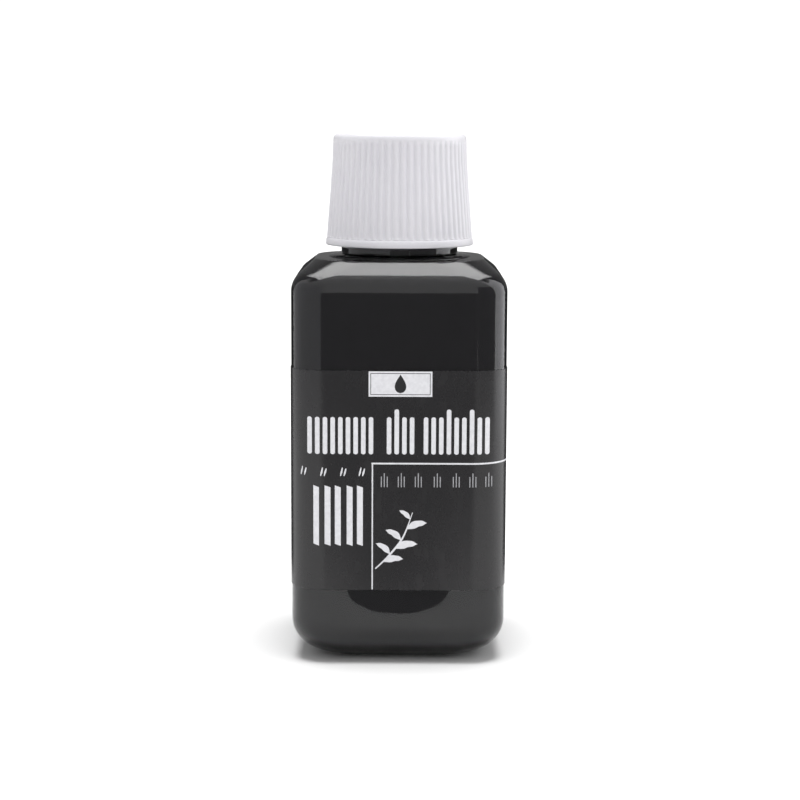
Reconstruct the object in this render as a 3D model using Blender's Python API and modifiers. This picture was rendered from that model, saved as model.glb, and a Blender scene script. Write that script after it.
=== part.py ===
"""Square ink bottle with a two-piece push-and-turn closure.

Metres, +Z up. The bottle stands on the XY plane with its neck on the Z axis and
its front face towards -Y. Every node keeps its object's origin on that axis.
"""

import math

import bmesh
import bpy

MM = 0.001

# Bottle body
BODY_WIDTH = 55.0 * MM
BODY_DEPTH = 55.0 * MM
SHOULDER_HEIGHT = 103.6 * MM  # from the table to the foot of the neck
CORNER_RADIUS = 9.0 * MM  # upright edges, along the straight walls
END_CORNER_RADIUS = 10.6 * MM  # upright edges, where they reach the base
BROW_CORNER_RADIUS = 14.0 * MM  # upright edges, where they reach the dome
BROW_ROUNDING = 1.5  # how early on the shoulder the edges open up, 1 for evenly
SHOULDER_RADIUS = 6.2 * MM
BEVEL_ANGLE = math.radians(50)  # how far the shoulder turns before it runs on straight
BEVEL_RUN = 3.6 * MM  # how far in the straight part goes
HEEL_RADIUS = 10.8 * MM
BODY_WALL = 1.2 * MM
DOME_RISE = 0.7 * MM  # from the end of the shoulder curve up to the neck
DOME_FLAT = 1.5 * MM  # least width kept between the neck ring and the shoulder curve
BASE_RISE = 2.4 * MM  # push-up under the base
FOOT_LAND = 2.6 * MM  # flat width that the bottle stands on
BASE_SLOPE = 2.4 * MM
BASE_CENTRE = 4.0 * MM

# Neck finish
NECK_HEIGHT = 22.7 * MM  # from the shoulder to the lip
NECK_ROOT = 12.6 * MM  # outer radius between the thread's turns
NECK_WALL = 1.7 * MM
NECK_FLARE = 1.0 * MM  # where the bore opens into the body
RING_STANDOUT = 2.6 * MM  # neck ring, out from the root
RING_HEIGHT = 3.0 * MM
RING_EDGE = 0.5 * MM
LIP_EDGE = 0.4 * MM

# Thread, shared by the neck and the inner cap
THREAD_PITCH = 4.2 * MM
THREAD_DEPTH = 1.1 * MM
THREAD_ROOT_WIDTH = 2.1 * MM
THREAD_TIP_WIDTH = 1.0 * MM
NECK_THREAD_TURNS = 1.6
CAP_THREAD_TURNS = 1.4
THREAD_DROP = 2.2 * MM  # from the lip to the middle of the thread's top end
THREAD_CLEARANCE = 0.35 * MM
THREAD_BITE = 0.4 * MM  # how far a thread is sunk into its own wall
RUN_OUT_ANGLE = math.radians(35.0)

# Contents
INK_HEADSPACE = 20.5 * MM  # from the lip down to the ink
INK_GAP = 0.3 * MM

# Label
LABEL_HEEL_MARGIN = 8.8 * MM
LABEL_SHOULDER_MARGIN = 19.2 * MM
FILM_THICKNESS = 0.15 * MM
FILM_GAP = 0.15 * MM
LAP_LENGTH = 7.0 * MM
LAP_RAMP = 3.0 * MM

# Closure stack, from the lip upwards
SEAT_GAP = 0.3 * MM
INSERT_FLANGE = 0.8 * MM
INSERT_DEPTH = 7.6 * MM
INSERT_WALL = 1.0 * MM
INSERT_FLANGE_INSET = 0.2 * MM
SPOUT_BORE = 4.0 * MM
SPOUT_DROP = 1.0 * MM  # the spout's lip below the flange
VENT_RADIUS = 1.0 * MM
LINER_THICKNESS = 1.0 * MM
INNER_CAP_PLATE = 1.4 * MM
INNER_CAP_WALL = 1.5 * MM
INNER_CAP_EDGE = 0.6 * MM
INNER_CAP_RING_CLEARANCE = 0.7 * MM  # above the neck ring
FLANGE_HEIGHT = 1.5 * MM
FLANGE_CLEARANCE = 0.5 * MM
LUG_COUNT = 6
LUG_HEIGHT = 1.2 * MM
LUG_WIDTH = 2.4 * MM
LUG_INNER = 6.5 * MM
LUG_MARGIN = 3.5 * MM  # from the lugs' outer ends to the inner cap's skirt
LUG_SINK = 0.3 * MM
LUG_GAP = 0.5 * MM  # between the two sets of lugs at rest

# Outer shell
RIM_GAP = 2.35 * MM  # between the shell's rim and the shoulder
SHELL_PLATE = 1.3 * MM
SHELL_WALL = 1.4 * MM
SHELL_CLEARANCE = 0.35 * MM  # round the inner cap, at the top
SHELL_WAIST_FLARE = 0.25 * MM
SHELL_WAIST_DROP = 7.5 * MM
SHELL_RIM_FLARE = 1.9 * MM
SHELL_EDGE = 1.2 * MM
BAND_HEIGHT = 2.0 * MM
BAND_STEP = 0.12 * MM  # how far the plain band stands out past the ribs
RIB_COUNT = 60
RIB_DEPTH = 0.32 * MM
RIB_FADE = 0.5 * MM
RIB_CREST = (0.3, 0.7)  # where a rib's flat crest starts and ends, between two grooves
BEAD_HEIGHT = 0.9 * MM
BEAD_HOLD = 0.7 * MM  # how far the retaining bead reaches under the inner cap
BEAD_GAP = 0.3 * MM

# Mesh fineness
CORNER_STEPS = 10  # per quarter of a section
ARC_STEPS = 5  # per heel or shoulder curve
TURNED_STEPS = 40
THREAD_STEPS = 36  # per turn

# Heights and radii worked out from the sizes above
LIP_HEIGHT = SHOULDER_HEIGHT + NECK_HEIGHT
RING_TOP = SHOULDER_HEIGHT + RING_HEIGHT
FLANGE_BASE = LIP_HEIGHT + SEAT_GAP
LINER_BASE = FLANGE_BASE + INSERT_FLANGE + SEAT_GAP
CAP_PLATE_BASE = LINER_BASE + LINER_THICKNESS + SEAT_GAP
CAP_PLATE_TOP = CAP_PLATE_BASE + INNER_CAP_PLATE
SHELL_PLATE_BASE = CAP_PLATE_TOP + 2 * LUG_HEIGHT + LUG_GAP
SHELL_TOP = SHELL_PLATE_BASE + SHELL_PLATE
SHELL_RIM = SHOULDER_HEIGHT + RIM_GAP
INNER_CAP_RIM = RING_TOP + INNER_CAP_RING_CLEARANCE
NECK_BORE = NECK_ROOT - NECK_WALL
RING_RADIUS = NECK_ROOT + RING_STANDOUT
THREAD_CREST = NECK_ROOT + THREAD_DEPTH
CAP_BORE = THREAD_CREST + THREAD_CLEARANCE
CAP_THREAD_TIP = NECK_ROOT + THREAD_CLEARANCE
CAP_SKIRT = CAP_BORE + INNER_CAP_WALL
LUG_OUTER = CAP_SKIRT - LUG_MARGIN
SHELL_TOP_RADIUS = CAP_SKIRT + SHELL_CLEARANCE + SHELL_WALL
SHELL_WAIST_RADIUS = SHELL_TOP_RADIUS + SHELL_WAIST_FLARE
SHELL_RIM_RADIUS = SHELL_TOP_RADIUS + SHELL_RIM_FLARE

# A shoulder curve is limited by the flat that the dome keeps beside the neck ring.
ARC_REACH = SHOULDER_RADIUS * (1 - math.cos(BEVEL_ANGLE))
BEVEL_REACH = min(
    BEVEL_RUN, min(BODY_WIDTH, BODY_DEPTH) / 2 - RING_RADIUS - DOME_FLAT - ARC_REACH
)
BEVEL_RISE = BEVEL_REACH / math.tan(BEVEL_ANGLE)
SHOULDER_CURVE = ARC_REACH + BEVEL_REACH
BROW_CORNER = min(BROW_CORNER_RADIUS, min(BODY_WIDTH, BODY_DEPTH) / 2 - SHOULDER_CURVE)
WALL_TOP = SHOULDER_HEIGHT - DOME_RISE - BEVEL_RISE - SHOULDER_RADIUS * math.sin(BEVEL_ANGLE)


def clear_scene():
    for thing in list(bpy.data.objects):
        bpy.data.objects.remove(thing, do_unlink=True)


def new_collection(name):
    found = bpy.data.collections.get(name) or bpy.data.collections.new(name)
    if found.name not in bpy.context.scene.collection.children:
        bpy.context.scene.collection.children.link(found)
    return found


def add_object(name, mesh, collection):
    thing = bpy.data.objects.new(name, mesh)
    collection.objects.link(thing)
    return thing


def plastic(name, colour, roughness, alpha=1.0):
    found = bpy.data.materials.new(name)
    found.use_nodes = True
    shader = found.node_tree.nodes["Principled BSDF"]
    shader.inputs["Base Color"].default_value = (*colour, 1.0)
    shader.inputs["Roughness"].default_value = roughness
    shader.inputs["Metallic"].default_value = 0.0
    shader.inputs["Alpha"].default_value = alpha
    return found


def finish_object(thing, material):
    thing.data.materials.clear()
    thing.data.materials.append(material)
    thing.data.shade_smooth()
    thing.data.set_sharp_from_angle(angle=math.radians(35.0))


def join_boolean(thing, tool, operation):
    tool.hide_render = True
    tool.display_type = "WIRE"
    step = thing.modifiers.new(tool.name, "BOOLEAN")
    step.operation = operation
    step.solver = "EXACT"
    step.object = tool


def loft(name, rings, collection):
    """A closed skin through rings that have the same number of points."""
    skin = bmesh.new()
    rows = [[skin.verts.new(point) for point in ring] for ring in rings]
    count = len(rows[0])
    for low, high in zip(rows, rows[1:]):
        for i in range(count):
            j = (i + 1) % count
            skin.faces.new((low[i], low[j], high[j], high[i]))
    skin.faces.new(list(reversed(rows[0])))
    skin.faces.new(rows[-1])
    mesh = bpy.data.meshes.new(name)
    skin.to_mesh(mesh)
    skin.free()
    return add_object(name, mesh, collection)


def turned(name, profile, collection, on_axis=False):
    """A profile of (radius, height) points spun about Z, outer side first, downwards."""
    mesh = bpy.data.meshes.new(name)
    corners = [(radius, 0.0, height) for radius, height in profile]
    edges = [(i, i + 1) for i in range(len(corners) - 1)]
    if not on_axis:
        edges.append((len(corners) - 1, 0))
    mesh.from_pydata(corners, edges, [])
    thing = add_object(name, mesh, collection)
    spin = thing.modifiers.new("spin", "SCREW")
    spin.axis = "Z"
    spin.steps = TURNED_STEPS
    spin.render_steps = TURNED_STEPS
    spin.use_merge_vertices = True
    spin.merge_threshold = 0.00001
    spin.use_smooth_shade = True
    return thing


def section_points(half_x, half_y, radius):
    """A rounded rectangle, anticlockwise from +X, as (x, y, outward x, outward y)."""
    points = []
    for quarter in range(4):
        middle_x = (half_x - radius) * (1 if quarter in (0, 3) else -1)
        middle_y = (half_y - radius) * (1 if quarter in (0, 1) else -1)
        for step in range(CORNER_STEPS):
            angle = (quarter + (step + 0.5) / CORNER_STEPS) * math.pi / 2
            nx, ny = math.cos(angle), math.sin(angle)
            points.append((middle_x + radius * nx, middle_y + radius * ny, nx, ny))
    return points


def section(half_x, half_y, radius, height):
    return [(x, y, height) for x, y, nx, ny in section_points(half_x, half_y, radius)]


def circle(radius, height):
    return section(radius, radius, radius, height)


def blend(start, end, share):
    return start + (end - start) * share


def body_rings(inset, top_radius):
    """Sections from the middle of the base up to the neck, for a skin set in by inset."""
    rings = [circle(BASE_CENTRE, BASE_RISE + inset)]
    foot_x = BODY_WIDTH / 2 - HEEL_RADIUS
    foot_y = BODY_DEPTH / 2 - HEEL_RADIUS
    end_corner = END_CORNER_RADIUS - inset
    corner = CORNER_RADIUS - inset
    for reach, height in (
        (FOOT_LAND + BASE_SLOPE, BASE_RISE + inset),
        (FOOT_LAND, inset),
        (0.0, inset),
    ):
        rings.append(section(foot_x - reach, foot_y - reach, end_corner - reach, height))
    heel = HEEL_RADIUS - inset
    for step in range(1, ARC_STEPS + 1):
        angle = step / ARC_STEPS * math.pi / 2
        out = heel * math.sin(angle)
        radius = blend(end_corner, corner, math.sin(angle))
        height = HEEL_RADIUS - heel * math.cos(angle)
        rings.append(section(foot_x + out, foot_y + out, radius, height))
    mitre = inset * math.tan((math.pi / 2 - BEVEL_ANGLE) / 2)
    brow_x = BODY_WIDTH / 2 - SHOULDER_CURVE - mitre
    brow_y = BODY_DEPTH / 2 - SHOULDER_CURVE - mitre
    brow_corner = BROW_CORNER - mitre
    shoulder = SHOULDER_RADIUS - inset
    for step in range(ARC_STEPS + 1):
        angle = step / ARC_STEPS * BEVEL_ANGLE
        into = inset + shoulder * (1 - math.cos(angle))
        height = WALL_TOP + shoulder * math.sin(angle)
        opened = ((into - inset) / (SHOULDER_CURVE + mitre - inset)) ** BROW_ROUNDING
        radius = blend(corner, brow_corner, opened)
        rings.append(section(BODY_WIDTH / 2 - into, BODY_DEPTH / 2 - into, radius, height))
    rings.append(section(brow_x, brow_y, brow_corner, SHOULDER_HEIGHT - DOME_RISE - inset))
    halfway = 0.5
    rings.append(
        section(
            blend(brow_x, top_radius, halfway),
            blend(brow_y, top_radius, halfway),
            blend(brow_corner, top_radius, halfway),
            SHOULDER_HEIGHT - inset - DOME_RISE * (1 - halfway) ** 2,
        )
    )
    return rings


def helical_ridge(name, middle_height, turns, root, tip, wall_side, collection):
    """A tapered right-hand ridge whose middle line climbs to middle_height at its end."""
    ridge = bmesh.new()
    rows = []
    steps = math.ceil(turns * THREAD_STEPS)
    for step in range(steps + 1):
        angle = step / steps * turns * 2 * math.pi
        to_end = min(angle, turns * 2 * math.pi - angle)
        rise = min(1.0, to_end / RUN_OUT_ANGLE)
        reach = blend(root + wall_side * THREAD_BITE / 2, tip, rise)
        height = middle_height - THREAD_PITCH * (turns - angle / (2 * math.pi))
        row = []
        for radius, half_width in (
            (root + wall_side * THREAD_BITE, THREAD_ROOT_WIDTH / 2),
            (reach, THREAD_TIP_WIDTH / 2),
        ):
            for side in (-1, 1):
                row.append(
                    (
                        radius * math.cos(angle),
                        radius * math.sin(angle),
                        height + side * half_width,
                    )
                )
        low_root, high_root, low_tip, high_tip = row
        rows.append([ridge.verts.new(p) for p in (low_root, low_tip, high_tip, high_root)])
    for back, front in zip(rows, rows[1:]):
        for i in range(4):
            j = (i + 1) % 4
            ridge.faces.new((back[i], front[i], front[j], back[j]))
    ridge.faces.new(rows[0])
    ridge.faces.new(list(reversed(rows[-1])))
    bmesh.ops.recalc_face_normals(ridge, faces=ridge.faces)
    mesh = bpy.data.meshes.new(name)
    ridge.to_mesh(mesh)
    ridge.free()
    return add_object(name, mesh, collection)


def make_bottle(parts, tools):
    rings = body_rings(0.0, RING_RADIUS)
    for radius, height in (
        (RING_RADIUS, SHOULDER_HEIGHT),
        (RING_RADIUS, RING_TOP - RING_EDGE),
        (RING_RADIUS - RING_EDGE, RING_TOP),
        (NECK_ROOT, RING_TOP),
        (NECK_ROOT, LIP_HEIGHT - LIP_EDGE),
        (NECK_ROOT - LIP_EDGE, LIP_HEIGHT),
        (NECK_BORE, LIP_HEIGHT),
        (NECK_BORE, SHOULDER_HEIGHT - BODY_WALL + NECK_FLARE),
    ):
        rings.append(circle(radius, height))
    rings += reversed(body_rings(BODY_WALL, NECK_BORE + NECK_FLARE))
    bottle = loft("bottle", rings, parts)
    thread = helical_ridge(
        "neck_thread",
        LIP_HEIGHT - THREAD_DROP,
        NECK_THREAD_TURNS,
        NECK_ROOT,
        THREAD_CREST,
        -1,
        tools,
    )
    join_boolean(bottle, thread, "UNION")
    finish_object(bottle, plastic("clear_bottle", (0.05, 0.05, 0.055), 0.08, 0.45))


def up_to_level(rings, level):
    """The rings of a skin below a level, closed by one more ring at the level itself."""
    for number, (low, high) in enumerate(zip(rings, rings[1:]), start=1):
        start, end = low[0][2], high[0][2]
        if start < level <= end:
            share = (level - start) / (end - start)
            surface = [
                tuple(blend(a, b, share) for a, b in zip(under, over))
                for under, over in zip(low, high)
            ]
            return rings[:number] + [surface]
    return rings


def make_ink(parts):
    inset = BODY_WALL + INK_GAP
    rings = body_rings(inset, NECK_BORE + NECK_FLARE - INK_GAP)
    for height in (SHOULDER_HEIGHT - inset + NECK_FLARE, LIP_HEIGHT - SEAT_GAP):
        rings.append(circle(NECK_BORE - INK_GAP, height))
    ink = loft("ink", up_to_level(rings, LIP_HEIGHT - INK_HEADSPACE), parts)
    finish_object(ink, plastic("black_ink", (0.004, 0.004, 0.005), 0.2))


def off_the_wall(points, distance):
    return [(x + distance * nx, y + distance * ny, nx, ny) for x, y, nx, ny in points]


def make_label(parts):
    """A strip round all four sides, whose end laps over its start on the back face."""
    corners = section_points(BODY_WIDTH / 2, BODY_DEPTH / 2, CORNER_RADIUS)
    first_quarter, others = corners[:CORNER_STEPS], corners[CORNER_STEPS:]
    back_y = first_quarter[-1][1]
    reach = LAP_LENGTH / 2
    start, ramp = (reach, back_y, 0.0, 1.0), (reach + LAP_RAMP, back_y, 0.0, 1.0)
    end = (-reach, back_y, 0.0, 1.0)
    path = off_the_wall([start, *others, *first_quarter, ramp], FILM_GAP)
    path += off_the_wall([start, end], 2 * FILM_GAP + FILM_THICKNESS)
    low = HEEL_RADIUS + LABEL_HEEL_MARGIN
    high = WALL_TOP - LABEL_SHOULDER_MARGIN
    film = bmesh.new()
    rows = []
    for x, y, nx, ny in path:
        outer_x, outer_y = x + FILM_THICKNESS * nx, y + FILM_THICKNESS * ny
        edge = ((x, y, low), (outer_x, outer_y, low), (outer_x, outer_y, high), (x, y, high))
        rows.append([film.verts.new(corner) for corner in edge])
    for back, front in zip(rows, rows[1:]):
        for i in range(4):
            j = (i + 1) % 4
            film.faces.new((back[i], back[j], front[j], front[i]))
    film.faces.new(list(reversed(rows[0])))
    film.faces.new(rows[-1])
    bmesh.ops.recalc_face_normals(film, faces=film.faces)
    mesh = bpy.data.meshes.new("wrap_label")
    film.to_mesh(mesh)
    film.free()
    label = add_object("wrap_label", mesh, parts)
    finish_object(label, plastic("label_film", (0.03, 0.03, 0.033), 0.3))


def make_pour_insert(parts, tools):
    flange_top = FLANGE_BASE + INSERT_FLANGE
    plug = NECK_BORE - SEAT_GAP
    web_base = flange_top - INSERT_DEPTH
    spout = SPOUT_BORE + INSERT_WALL
    profile = [
        (NECK_ROOT - INSERT_FLANGE_INSET, flange_top),
        (NECK_ROOT - INSERT_FLANGE_INSET, FLANGE_BASE),
        (plug, FLANGE_BASE),
        (plug, web_base + INSERT_WALL / 2),
        (plug - INSERT_WALL / 2, web_base),
        (SPOUT_BORE, web_base),
        (SPOUT_BORE, flange_top - SPOUT_DROP),
        (spout, flange_top - SPOUT_DROP),
        (spout, web_base + INSERT_WALL),
        (plug - INSERT_WALL, web_base + INSERT_WALL),
        (plug - INSERT_WALL, flange_top),
    ]
    insert = turned("pour_insert", profile, parts)
    vent = bmesh.new()
    bmesh.ops.create_cone(
        vent,
        cap_ends=True,
        segments=16,
        radius1=VENT_RADIUS,
        radius2=VENT_RADIUS,
        depth=INSERT_WALL * 3,
    )
    mesh = bpy.data.meshes.new("vent_cutter")
    vent.to_mesh(mesh)
    vent.free()
    cutter = add_object("vent_cutter", mesh, tools)
    middle = (spout + plug - INSERT_WALL) / 2
    cutter.location = (0.0, middle, web_base + INSERT_WALL / 2)
    join_boolean(insert, cutter, "DIFFERENCE")
    finish_object(insert, plastic("natural_insert", (0.82, 0.82, 0.8), 0.4))


def make_liner(parts):
    disc = bmesh.new()
    radius = CAP_BORE - SEAT_GAP
    bmesh.ops.create_cone(
        disc,
        cap_ends=True,
        segments=TURNED_STEPS,
        radius1=radius,
        radius2=radius,
        depth=LINER_THICKNESS,
    )
    bmesh.ops.translate(
        disc, verts=disc.verts, vec=(0.0, 0.0, LINER_BASE + LINER_THICKNESS / 2)
    )
    mesh = bpy.data.meshes.new("cap_liner")
    disc.to_mesh(mesh)
    disc.free()
    liner = add_object("cap_liner", mesh, parts)
    finish_object(liner, plastic("foam_liner", (0.88, 0.88, 0.86), 0.8))


def lug_ring(name, base, up, first_angle, tools):
    """A ring of drive lugs that stand up from a plate, or hang down from one, sunk a little."""
    height = LUG_HEIGHT + LUG_SINK
    middle_height = base + up * (LUG_HEIGHT - LUG_SINK) / 2
    middle_radius = (LUG_INNER + LUG_OUTER) / 2
    ring = bmesh.new()
    for number in range(LUG_COUNT):
        angle = first_angle + number * 2 * math.pi / LUG_COUNT
        made = bmesh.ops.create_cube(ring, size=1.0)["verts"]
        bmesh.ops.scale(ring, verts=made, vec=(LUG_OUTER - LUG_INNER, LUG_WIDTH, height))
        bmesh.ops.translate(ring, verts=made, vec=(middle_radius, 0.0, middle_height))
        cosine, sine = math.cos(angle), math.sin(angle)
        for vert in made:
            x, y, z = vert.co
            vert.co = (x * cosine - y * sine, x * sine + y * cosine, z)
    mesh = bpy.data.meshes.new(name)
    ring.to_mesh(mesh)
    ring.free()
    return add_object(name, mesh, tools)


def shell_radius(height):
    """The shell's outer radius at a height, over the crests of the ribs."""
    waist = SHELL_TOP - SHELL_WAIST_DROP
    if height > waist:
        share = (SHELL_TOP - height) / SHELL_WAIST_DROP
        return blend(SHELL_TOP_RADIUS, SHELL_WAIST_RADIUS, share)
    share = (waist - height) / (waist - SHELL_RIM)
    return blend(SHELL_WAIST_RADIUS, SHELL_RIM_RADIUS, share)


def flange_radius():
    """The inner cap's flange, which the shell passes over and its bead holds."""
    return shell_radius(INNER_CAP_RIM + FLANGE_HEIGHT) - SHELL_WALL - FLANGE_CLEARANCE


def make_inner_cap(parts, tools):
    flange_top = INNER_CAP_RIM + FLANGE_HEIGHT
    flange = flange_radius()
    profile = [
        (0.0, CAP_PLATE_TOP),
        (CAP_SKIRT - INNER_CAP_EDGE, CAP_PLATE_TOP),
        (CAP_SKIRT, CAP_PLATE_TOP - INNER_CAP_EDGE),
        (CAP_SKIRT, flange_top),
        (flange, flange_top),
        (flange, INNER_CAP_RIM),
        (CAP_BORE, INNER_CAP_RIM),
        (CAP_BORE, CAP_PLATE_BASE),
        (0.0, CAP_PLATE_BASE),
    ]
    cap = turned("inner_cap", profile, parts, on_axis=True)
    thread = helical_ridge(
        "cap_thread",
        LIP_HEIGHT - THREAD_DROP - THREAD_PITCH / 2,
        CAP_THREAD_TURNS,
        CAP_BORE,
        CAP_THREAD_TIP,
        1,
        tools,
    )
    thread.rotation_euler = (0.0, 0.0, thread_phase())
    lugs = lug_ring("inner_cap_lugs", CAP_PLATE_TOP, 1, 0.0, tools)
    join_boolean(cap, thread, "UNION")
    join_boolean(cap, lugs, "UNION")
    finish_object(cap, plastic("inner_cap_plastic", (0.8, 0.8, 0.8), 0.4))


def thread_phase():
    """The turn that puts the cap's ridge midway between two turns of the neck's thread."""
    return 2 * math.pi * (NECK_THREAD_TURNS - CAP_THREAD_TURNS)


def ribbed_ring(height, depth):
    """A ring of rib crests and valleys at a height; depth 0 leaves it round."""
    radius = shell_radius(height)
    points = []
    rib_angle = 2 * math.pi / RIB_COUNT
    front = -math.pi / 2
    for rib in range(RIB_COUNT):
        for share in (0.0, *RIB_CREST):
            angle = front + (rib + share) * rib_angle
            reach = radius if share in RIB_CREST else radius - depth
            points.append((reach * math.cos(angle), reach * math.sin(angle), height))
    return points


def plain_ring(radius, height):
    scale = radius / shell_radius(height)
    return [(x * scale, y * scale, z) for x, y, z in ribbed_ring(height, 0.0)]


def make_outer_shell(parts, tools):
    band_top = SHELL_RIM + BAND_HEIGHT
    rib_top = SHELL_TOP - SHELL_EDGE
    top_flat = SHELL_TOP_RADIUS - SHELL_EDGE
    waist = SHELL_TOP - SHELL_WAIST_DROP
    edge_mid = SHELL_EDGE * (1 - math.sqrt(0.5))
    rings = [
        plain_ring(shell_radius(SHELL_RIM) - SHELL_WALL, SHELL_RIM),
        plain_ring(shell_radius(SHELL_RIM) + BAND_STEP, SHELL_RIM),
        plain_ring(shell_radius(band_top) + BAND_STEP, band_top),
        ribbed_ring(band_top + BAND_STEP, RIB_DEPTH),
        ribbed_ring(waist, RIB_DEPTH),
        ribbed_ring(rib_top - RIB_FADE, RIB_DEPTH),
        plain_ring(shell_radius(rib_top), rib_top),
        plain_ring(SHELL_TOP_RADIUS - edge_mid, SHELL_TOP - edge_mid),
        plain_ring(top_flat, SHELL_TOP),
    ]
    shell = loft("outer_shell", rings, parts)
    bead_top = INNER_CAP_RIM - BEAD_GAP
    bead_radius = flange_radius() - BEAD_HOLD
    below = SHELL_RIM - SHELL_WALL
    hollow_profile = [
        (0.0, SHELL_PLATE_BASE),
        (shell_radius(SHELL_PLATE_BASE) - SHELL_WALL, SHELL_PLATE_BASE),
        (shell_radius(waist) - SHELL_WALL, waist),
        (shell_radius(bead_top) - SHELL_WALL, bead_top),
        (bead_radius, bead_top),
        (bead_radius, bead_top - BEAD_HEIGHT / 2),
        (shell_radius(SHELL_RIM) - SHELL_WALL, bead_top - BEAD_HEIGHT),
        (shell_radius(SHELL_RIM) - SHELL_WALL, below),
        (0.0, below),
    ]
    hollow = turned("shell_hollow", hollow_profile, tools, on_axis=True)
    between_lugs = math.pi / LUG_COUNT
    lugs = lug_ring("shell_lugs", SHELL_PLATE_BASE, -1, between_lugs, tools)
    join_boolean(shell, hollow, "DIFFERENCE")
    join_boolean(shell, lugs, "UNION")
    finish_object(shell, plastic("white_shell", (0.78, 0.78, 0.8), 0.42))


def build():
    clear_scene()
    parts = new_collection("ink_bottle")
    tools = new_collection("cutters")
    make_bottle(parts, tools)
    make_ink(parts)
    make_label(parts)
    make_pour_insert(parts, tools)
    make_liner(parts)
    make_inner_cap(parts, tools)
    make_outer_shell(parts, tools)


build()
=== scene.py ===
import math

import bmesh
import bpy
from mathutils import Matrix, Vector


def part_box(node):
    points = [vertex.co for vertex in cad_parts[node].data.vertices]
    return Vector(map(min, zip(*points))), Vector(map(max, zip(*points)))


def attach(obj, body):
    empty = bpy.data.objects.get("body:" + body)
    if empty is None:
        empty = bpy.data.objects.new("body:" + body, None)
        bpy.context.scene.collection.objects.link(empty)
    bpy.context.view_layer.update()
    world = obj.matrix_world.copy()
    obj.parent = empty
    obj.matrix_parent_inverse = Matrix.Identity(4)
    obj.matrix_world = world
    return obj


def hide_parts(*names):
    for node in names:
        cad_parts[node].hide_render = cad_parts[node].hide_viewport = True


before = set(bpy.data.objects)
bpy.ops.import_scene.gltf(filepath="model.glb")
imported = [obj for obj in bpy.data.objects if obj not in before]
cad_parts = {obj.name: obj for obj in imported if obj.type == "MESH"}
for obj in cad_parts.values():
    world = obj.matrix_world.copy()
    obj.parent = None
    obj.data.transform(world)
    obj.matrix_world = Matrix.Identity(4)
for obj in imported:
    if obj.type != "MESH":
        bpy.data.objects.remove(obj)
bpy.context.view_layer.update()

mm = 0.001
print("ink bottle: frame loaded")


# small mesh tools

def mix(start, end, share):
    return start + (end - start) * share


def addObject(name, mesh):
    made = bpy.data.objects.new(name, mesh)
    bpy.context.scene.collection.objects.link(made)
    return made


def meshObject(name, points, faces):
    mesh = bpy.data.meshes.new(name)
    mesh.from_pydata(points, [], faces)
    mesh.validate()
    work = bmesh.new()
    work.from_mesh(mesh)
    bmesh.ops.recalc_face_normals(work, faces=work.faces)
    work.to_mesh(mesh)
    work.free()
    return addObject(name, mesh)


def skin(rings, closeStart=True, closeEnd=True):
    # one skin through rings that all have the same number of points
    count = len(rings[0])
    points = [point for ring in rings for point in ring]
    faces = []
    for row in range(len(rings) - 1):
        low, high = row * count, (row + 1) * count
        for i in range(count):
            j = (i + 1) % count
            faces.append((low + i, low + j, high + j, high + i))
    if closeStart:
        faces.append(tuple(reversed(range(count))))
    if closeEnd:
        faces.append(tuple(range(len(points) - count, len(points))))
    return points, faces


def smoothShading(piece, sharpAngle=35, weighted=True):
    piece.data.shade_smooth()
    piece.data.set_sharp_from_angle(angle=math.radians(sharpAngle))
    if weighted:
        evening = piece.modifiers.new("evenNormals", "WEIGHTED_NORMAL")
        evening.keep_sharp = True
        evening.weight = 80


def settle(piece, body, material, replaced=None):
    piece.data.materials.clear()
    piece.data.materials.append(material)
    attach(piece, body)
    if replaced:
        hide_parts(replaced)


def applyModifiers(piece):
    graph = bpy.context.evaluated_depsgraph_get()
    finished = bpy.data.meshes.new_from_object(piece.evaluated_get(graph))
    piece.modifiers.clear()
    piece.data = finished


def cutOrJoin(piece, tool, operation):
    step = piece.modifiers.new("shape", "BOOLEAN")
    step.operation = operation
    step.solver = "EXACT"
    step.object = tool
    applyModifiers(piece)
    bpy.data.objects.remove(tool, do_unlink=True)


def roundCorners(profile, radius, steps=3, closed=True):
    # fillets every corner of a (radius, height) profile
    rounded = []
    count = len(profile)
    for i, (r, z) in enumerate(profile):
        here = Vector((r, z))
        onAxis = r < 1e-7
        if onAxis or (not closed and i in (0, count - 1)):
            rounded.append((r, z))
            continue
        before = Vector(profile[i - 1]) - here
        after = Vector(profile[(i + 1) % count]) - here
        reach = min(radius, before.length * 0.45, after.length * 0.45)
        start = here + before.normalized() * reach
        end = here + after.normalized() * reach
        for step in range(steps + 1):
            t = step / steps
            spot = start * (1 - t) ** 2 + here * 2 * t * (1 - t) + end * t ** 2
            rounded.append((max(spot.x, 0.0), spot.y))
    return rounded


def turned(name, profile, steps=96):
    # spins a closed (radius, height) profile about the neck's axis; points on the axis are shared
    points = []
    rows = []
    for r, z in profile:
        if r < 1e-7:
            rows.append([len(points)] * steps)
            points.append((0.0, 0.0, z))
            continue
        rows.append(list(range(len(points), len(points) + steps)))
        for i in range(steps):
            angle = 2 * math.pi * i / steps
            points.append((r * math.cos(angle), r * math.sin(angle), z))
    faces = []
    for low, high in zip(rows, rows[1:] + rows[:1]):
        if low[0] == low[1] and high[0] == high[1]:
            continue
        for i in range(steps):
            j = (i + 1) % steps
            corners = []
            for corner in (low[i], low[j], high[j], high[i]):
                if corner not in corners:
                    corners.append(corner)
            if len(corners) > 2:
                faces.append(tuple(corners))
    return meshObject(name, points, faces)


# shared finish effects, each a node group

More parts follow.
